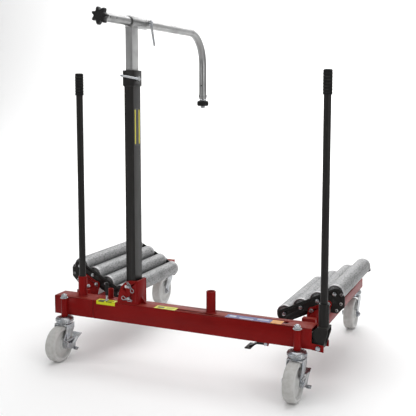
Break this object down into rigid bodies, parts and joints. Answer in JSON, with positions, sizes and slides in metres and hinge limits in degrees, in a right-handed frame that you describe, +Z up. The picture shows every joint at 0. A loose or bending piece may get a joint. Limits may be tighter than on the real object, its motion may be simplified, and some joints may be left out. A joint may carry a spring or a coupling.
{
  "type": "wheel dolly",
  "caption": "Telescoping steel dolly for large vehicle wheels, with sloping roller cradles on swivel casters, lever bars and a steadying arm on a mast.",
  "frame": {"origin": "on the floor, under the middle of the outline's bounding box", "axes": "+X along the beam from the mast towards the crank, +Y from the beam towards the rear ends of the legs, +Z up"},
  "size_m": [1.268, 1.192, 1.4605],
  "materials": {
    "red_paint": "gloss powder coat",
    "black_paint": "satin powder coat",
    "grip_rubber": "ribbed, matt",
    "black_plastic": "moulded, matt",
    "pale_nylon": "moulded nylon",
    "zinc_roller": "dull zinc plate",
    "bright_chrome": "bright plated",
    "bare_steel": "oiled steel",
    "zinc_hardware": "bright zinc plate"
  },
  "bodies": {
    "main_frame": {"main_beam": "red_paint", "right_leg": "red_paint", "right_cradle": "black_paint", "right_stand_bolts": "zinc_hardware", "right_axles": "zinc_hardware", "lever_pin": "zinc_hardware", "pedal_pin": "zinc_hardware", "front_right_stem": "zinc_hardware", "rear_right_stem": "zinc_hardware"},
    "left_frame": {"left_frame": "red_paint", "left_leg": "red_paint", "left_cradle": "black_paint", "left_stand_bolts": "zinc_hardware", "left_axles": "zinc_hardware", "front_left_stem": "zinc_hardware", "rear_left_stem": "zinc_hardware", "slide_tube": "bare_steel", "rack_bar": "bare_steel"},
    "crank": {"lever_crank": "black_paint", "crank_roller": "zinc_hardware"},
    "right_lever": {"right_bar": "black_paint", "right_grip": "grip_rubber"},
    "left_lever": {"left_bar": "black_paint", "left_grip": "grip_rubber"},
    "pull_rod": {"pull_rod": "bare_steel"},
    "release_pedal": {"release_pedal": "black_paint"},
    "width_pin": {"width_pin": "black_plastic"},
    "left_screw": {"left_screw": "zinc_hardware"},
    "mast": {"mast_tube": "black_paint", "mast_pins": "zinc_hardware", "spring_clips": "zinc_hardware"},
    "mast_screw": {"mast_screw": "zinc_hardware"},
    "inner_mast": {"inner_mast": "bright_chrome"},
    "arm_screw": {"arm_screw": "zinc_hardware"},
    "arm": {"arm_tube": "bright_chrome"},
    "star_knob": {"star_knob": "black_plastic"},
    "foot_knob": {"foot_knob": "black_plastic"},
    "front_right_caster": {"front_right_fork": "zinc_hardware", "front_right_axle": "zinc_hardware"},
    "front_right_wheel": {"front_right_wheel": "pale_nylon"},
    "front_right_brake": {"front_right_brake": "zinc_hardware"},
    "front_left_caster": {"front_left_fork": "zinc_hardware", "front_left_axle": "zinc_hardware"},
    "front_left_wheel": {"front_left_wheel": "pale_nylon"},
    "front_left_brake": {"front_left_brake": "zinc_hardware"},
    "rear_right_caster": {"rear_right_fork": "zinc_hardware", "rear_right_axle": "zinc_hardware"},
    "rear_right_wheel": {"rear_right_wheel": "pale_nylon"},
    "rear_left_caster": {"rear_left_fork": "zinc_hardware", "rear_left_axle": "zinc_hardware"},
    "rear_left_wheel": {"rear_left_wheel": "pale_nylon"},
    "right_roller_1": {"right_roller_1": "zinc_roller"},
    "right_roller_2": {"right_roller_2": "zinc_roller"},
    "right_roller_3": {"right_roller_3": "zinc_roller"},
    "right_roller_4": {"right_roller_4": "zinc_roller"},
    "left_roller_1": {"left_roller_1": "zinc_roller"},
    "left_roller_2": {"left_roller_2": "zinc_roller"},
    "left_roller_3": {"left_roller_3": "zinc_roller"},
    "left_roller_4": {"left_roller_4": "zinc_roller"}
  },
  "joints": [
    {"name": "width_slide", "type": "slide", "parent": "main_frame", "child": "left_frame", "axis": [-1, 0, 0], "range_m": [0, 0.15]},
    {"name": "front_right_swivel", "type": "hinge", "parent": "main_frame", "child": "front_right_caster", "pos_m": [0.508, -0.402, 0.075], "axis": [0, 0, 1], "continuous": true},
    {"name": "front_right_roll", "type": "hinge", "parent": "front_right_caster", "child": "front_right_wheel", "pos_m": [0.508, -0.444, 0.075], "axis": [1, 0, 0], "continuous": true},
    {"name": "front_right_brake_press", "type": "hinge", "parent": "front_right_caster", "child": "front_right_brake", "pos_m": [0.508, -0.444, 0.075], "axis": [-1, 0, 0], "range_deg": [0, 15]},
    {"name": "front_left_swivel", "type": "hinge", "parent": "left_frame", "child": "front_left_caster", "pos_m": [-0.531, -0.402, 0.075], "axis": [0, 0, 1], "continuous": true},
    {"name": "front_left_roll", "type": "hinge", "parent": "front_left_caster", "child": "front_left_wheel", "pos_m": [-0.531, -0.444, 0.075], "axis": [1, 0, 0], "continuous": true},
    {"name": "front_left_brake_press", "type": "hinge", "parent": "front_left_caster", "child": "front_left_brake", "pos_m": [-0.531, -0.444, 0.075], "axis": [-1, 0, 0], "range_deg": [0, 15]},
    {"name": "rear_right_swivel", "type": "hinge", "parent": "main_frame", "child": "rear_right_caster", "pos_m": [0.508, 0.541, 0.075], "axis": [0, 0, 1], "continuous": true},
    {"name": "rear_right_roll", "type": "hinge", "parent": "rear_right_caster", "child": "rear_right_wheel", "pos_m": [0.508, 0.499, 0.075], "axis": [1, 0, 0], "continuous": true},
    {"name": "rear_left_swivel", "type": "hinge", "parent": "left_frame", "child": "rear_left_caster", "pos_m": [-0.531, 0.541, 0.075], "axis": [0, 0, 1], "continuous": true},
    {"name": "rear_left_roll", "type": "hinge", "parent": "rear_left_caster", "child": "rear_left_wheel", "pos_m": [-0.531, 0.499, 0.075], "axis": [1, 0, 0], "continuous": true},
    {"name": "right_roller_1_spin", "type": "hinge", "parent": "main_frame", "child": "right_roller_1", "pos_m": [0.387, 0.056, 0.247], "axis": [0, 1, 0], "continuous": true},
    {"name": "right_roller_2_spin", "type": "hinge", "parent": "main_frame", "child": "right_roller_2", "pos_m": [0.45561, 0.056, 0.28196], "axis": [0, 1, 0], "continuous": true},
    {"name": "right_roller_3_spin", "type": "hinge", "parent": "main_frame", "child": "right_roller_3", "pos_m": [0.52421, 0.056, 0.31692], "axis": [0, 1, 0], "continuous": true},
    {"name": "right_roller_4_spin", "type": "hinge", "parent": "main_frame", "child": "right_roller_4", "pos_m": [0.59282, 0.056, 0.35187], "axis": [0, 1, 0], "continuous": true},
    {"name": "left_roller_1_spin", "type": "hinge", "parent": "left_frame", "child": "left_roller_1", "pos_m": [-0.387, 0.056, 0.247], "axis": [0, 1, 0], "continuous": true},
    {"name": "left_roller_2_spin", "type": "hinge", "parent": "left_frame", "child": "left_roller_2", "pos_m": [-0.45561, 0.056, 0.28196], "axis": [0, 1, 0], "continuous": true},
    {"name": "left_roller_3_spin", "type": "hinge", "parent": "left_frame", "child": "left_roller_3", "pos_m": [-0.52421, 0.056, 0.31692], "axis": [0, 1, 0], "continuous": true},
    {"name": "left_roller_4_spin", "type": "hinge", "parent": "left_frame", "child": "left_roller_4", "pos_m": [-0.59282, 0.056, 0.35187], "axis": [0, 1, 0], "continuous": true},
    {"name": "lever_swing", "type": "hinge", "parent": "main_frame", "child": "crank", "pos_m": [0.583, -0.344, 0.194], "axis": [0, 1, 0], "range_deg": [0, 40]},
    {"name": "rod_pull", "type": "slide", "parent": "main_frame", "child": "pull_rod", "axis": [1, 0, 0], "range_m": [0, 0.0358]},
    {"name": "right_bar_pull", "type": "slide", "parent": "crank", "child": "right_lever", "axis": [0, 0, 1], "range_m": [0, 0.08]},
    {"name": "left_bar_pull", "type": "slide", "parent": "left_frame", "child": "left_lever", "axis": [0, 0, 1], "range_m": [0, 0.08]},
    {"name": "left_screw_turn", "type": "hinge", "parent": "left_frame", "child": "left_screw", "pos_m": [-0.474, -0.344, 0.312], "axis": [1, 0, 0], "range_deg": [-180, 180]},
    {"name": "pedal_press", "type": "hinge", "parent": "main_frame", "child": "release_pedal", "pos_m": [0.372, -0.344, 0.176], "axis": [0, -1, 0], "range_deg": [0, 15], "stiffness_Nm_per_rad": 2, "springref_deg": -22.92},
    {"name": "width_pin_pull", "type": "slide", "parent": "main_frame", "child": "width_pin", "axis": [0, 0, 1], "range_m": [0, 0.025]},
    {"name": "mast_tilt", "type": "hinge", "parent": "main_frame", "child": "mast", "pos_m": [-0.222, -0.344, 0.293], "axis": [0, -1, 0], "range_deg": [0, 11]},
    {"name": "mast_screw_turn", "type": "hinge", "parent": "mast", "child": "mast_screw", "pos_m": [-0.188, -0.358, 1.196], "axis": [1, 0, 0], "range_deg": [-180, 180]},
    {"name": "mast_extend", "type": "slide", "parent": "mast", "child": "inner_mast", "axis": [0, 0, 1], "range_m": [-0.16, 0.25]},
    {"name": "arm_screw_turn", "type": "hinge", "parent": "inner_mast", "child": "arm_screw", "pos_m": [-0.188, -0.262, 1.425], "axis": [1, 0, 0], "range_deg": [-180, 180]},
    {"name": "arm_slide", "type": "slide", "parent": "inner_mast", "child": "arm", "axis": [0, 1, 0], "range_m": [-0.35, 0.15]},
    {"name": "star_knob_turn", "type": "hinge", "parent": "arm", "child": "star_knob", "pos_m": [-0.218, -0.574, 1.425], "axis": [0, 1, 0], "range_deg": [-180, 180]},
    {"name": "foot_knob_turn", "type": "hinge", "parent": "arm", "child": "foot_knob", "pos_m": [-0.218, 0.352, 1.09], "axis": [0, 0, 1], "range_deg": [-180, 180]}
  ],
  "couplings": [
    {"joint": "rod_pull", "follows": "lever_swing", "m_per_rad": 0.05107}
  ]
}
